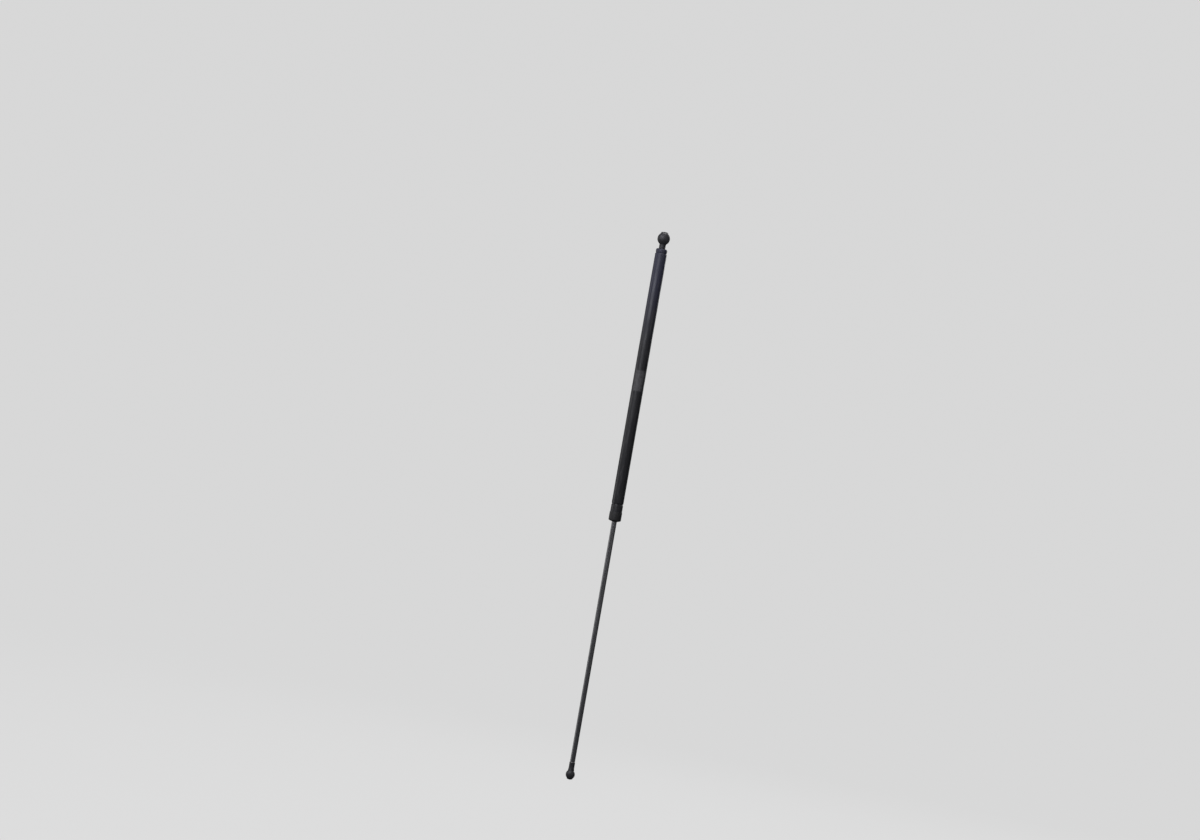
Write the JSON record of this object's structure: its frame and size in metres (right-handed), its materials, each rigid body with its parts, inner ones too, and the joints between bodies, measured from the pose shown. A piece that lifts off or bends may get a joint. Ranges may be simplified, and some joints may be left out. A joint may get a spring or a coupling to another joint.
{
  "type": "gas strut stay",
  "caption": "Gas strut stay: a black pressure tube and a dark piston rod with a clipped ball joint and bracket stud at each end.",
  "frame": {"origin": "centre of the upper ball", "axes": "+Z along the strut towards its tube end, +Y along the studs towards the brackets, at full length"},
  "size_m": [0.0202, 0.0396, 0.8902],
  "materials": {
    "black_paint": "semi-gloss black paint, weathered",
    "dark_rod": "ground and black nitrided, lightly oiled",
    "black_steel": "black coated turned steel",
    "zinc_steel": "zinc plated",
    "spring_steel": "drawn spring steel",
    "cap_plastic": "moulded black",
    "guide_plastic": "natural acetal",
    "rubber": "nitrile",
    "felt": "oiled felt",
    "sintered_iron": "sintered"
  },
  "bodies": {
    "upper_stud": {"upper_ball_stud": "zinc_steel", "upper_stud_washer": "zinc_steel", "upper_stud_nut": "zinc_steel"},
    "upper_ring": {"upper_snap_ring": "spring_steel"},
    "cylinder": {"pressure_tube": "black_paint", "end_plug": "zinc_steel", "plug_o_ring": "rubber", "upper_socket": "black_steel", "rod_guide": "guide_plastic", "guide_o_ring": "rubber", "rod_seal": "rubber", "seal_washer": "zinc_steel", "wiper_ring": "felt", "dust_cap": "cap_plastic"},
    "upper_safety_clip": {"upper_clip": "spring_steel"},
    "guide_ring": {"piston_ring": "guide_plastic"},
    "rod": {"piston_rod": "dark_rod", "stop_washer": "zinc_steel", "piston": "sintered_iron", "orifice_disc": "spring_steel", "piston_nut": "zinc_steel", "lower_socket": "black_steel"},
    "lower_safety_clip": {"lower_clip": "spring_steel"},
    "lower_ring": {"lower_snap_ring": "spring_steel"},
    "lower_stud": {"lower_ball_stud": "zinc_steel", "lower_stud_washer": "zinc_steel", "lower_stud_nut": "zinc_steel"}
  },
  "joints": [
    {"name": "upper_tilt", "type": "hinge", "parent": "upper_stud", "child": "upper_ring", "pos_m": [0, 0, 0], "axis": [1, 0, 0], "range_deg": [-15, 15]},
    {"name": "upper_swing", "type": "hinge", "parent": "upper_ring", "child": "cylinder", "pos_m": [0, 0, 0], "axis": [0, 1, 0], "continuous": true},
    {"name": "upper_clip_pull", "type": "slide", "parent": "cylinder", "child": "upper_safety_clip", "axis": [0, 0, 1], "range_m": [0, 0.012]},
    {"name": "rod_slide", "type": "slide", "parent": "cylinder", "child": "guide_ring", "axis": [0, 0, 1], "range_m": [0, 0.37], "stiffness_N_per_m": 243, "springref_m": -1.235},
    {"name": "rod_spin", "type": "hinge", "parent": "guide_ring", "child": "rod", "pos_m": [0, 0, -0.4219], "axis": [0, 0, 1], "continuous": true},
    {"name": "lower_clip_pull", "type": "slide", "parent": "rod", "child": "lower_safety_clip", "axis": [0, 0, -1], "range_m": [0, 0.01]},
    {"name": "lower_swing", "type": "hinge", "parent": "rod", "child": "lower_ring", "pos_m": [0, 0, -0.87], "axis": [0, 1, 0], "continuous": true},
    {"name": "lower_tilt", "type": "hinge", "parent": "lower_ring", "child": "lower_stud", "pos_m": [0, 0, -0.87], "axis": [1, 0, 0], "range_deg": [-15, 15]}
  ]
}
